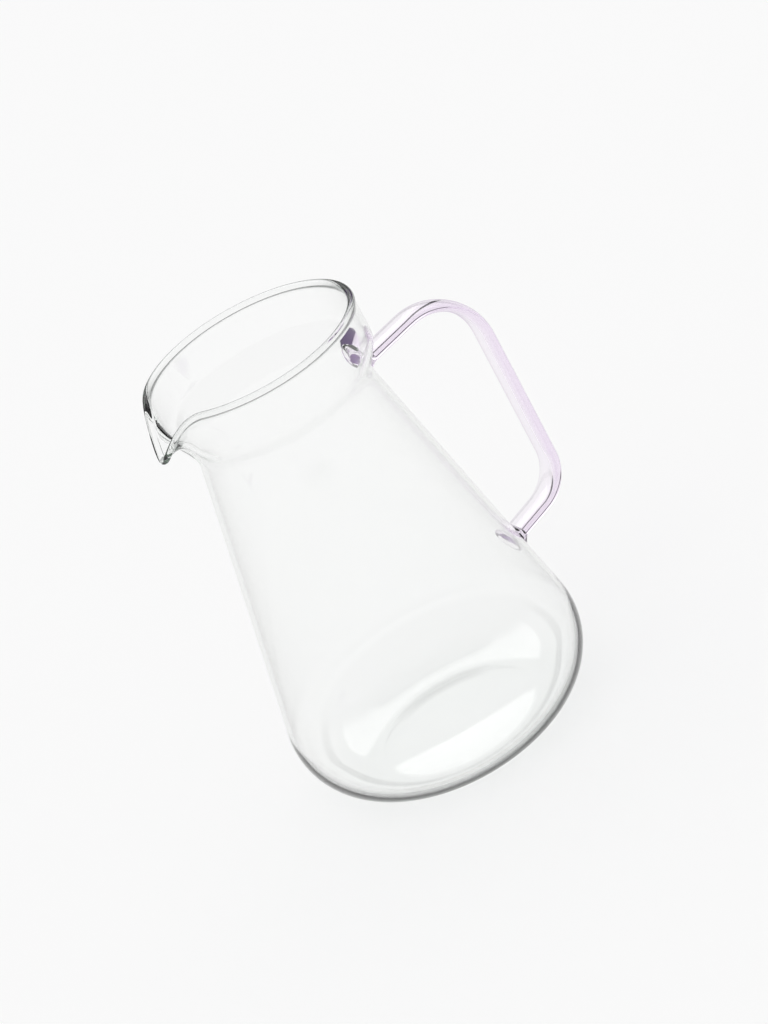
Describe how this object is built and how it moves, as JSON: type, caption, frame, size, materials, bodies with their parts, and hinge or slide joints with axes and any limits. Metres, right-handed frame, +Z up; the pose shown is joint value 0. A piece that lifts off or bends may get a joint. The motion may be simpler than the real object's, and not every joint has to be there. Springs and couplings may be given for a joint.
{
  "type": "serving jug",
  "caption": "Clear glass serving jug with a tapered body, a waisted neck, a drawn pouring lip and a tinted glass strap handle.",
  "frame": {"origin": "the middle of the base on the body's own axis, in the plane of the ring that the jug stands on", "axes": "+Z up along the body's axis; +X from the axis towards the handle; the pouring lip points to -X; the XZ plane cuts the handle and the lip in half"},
  "size_m": [0.164, 0.134, 0.2],
  "materials": {
    "clear_glass": "fire-polished",
    "tinted_glass": "fire-polished"
  },
  "bodies": {
    "root": {"jug_body": "clear_glass", "handle": "tinted_glass"}
  },
  "joints": []
}
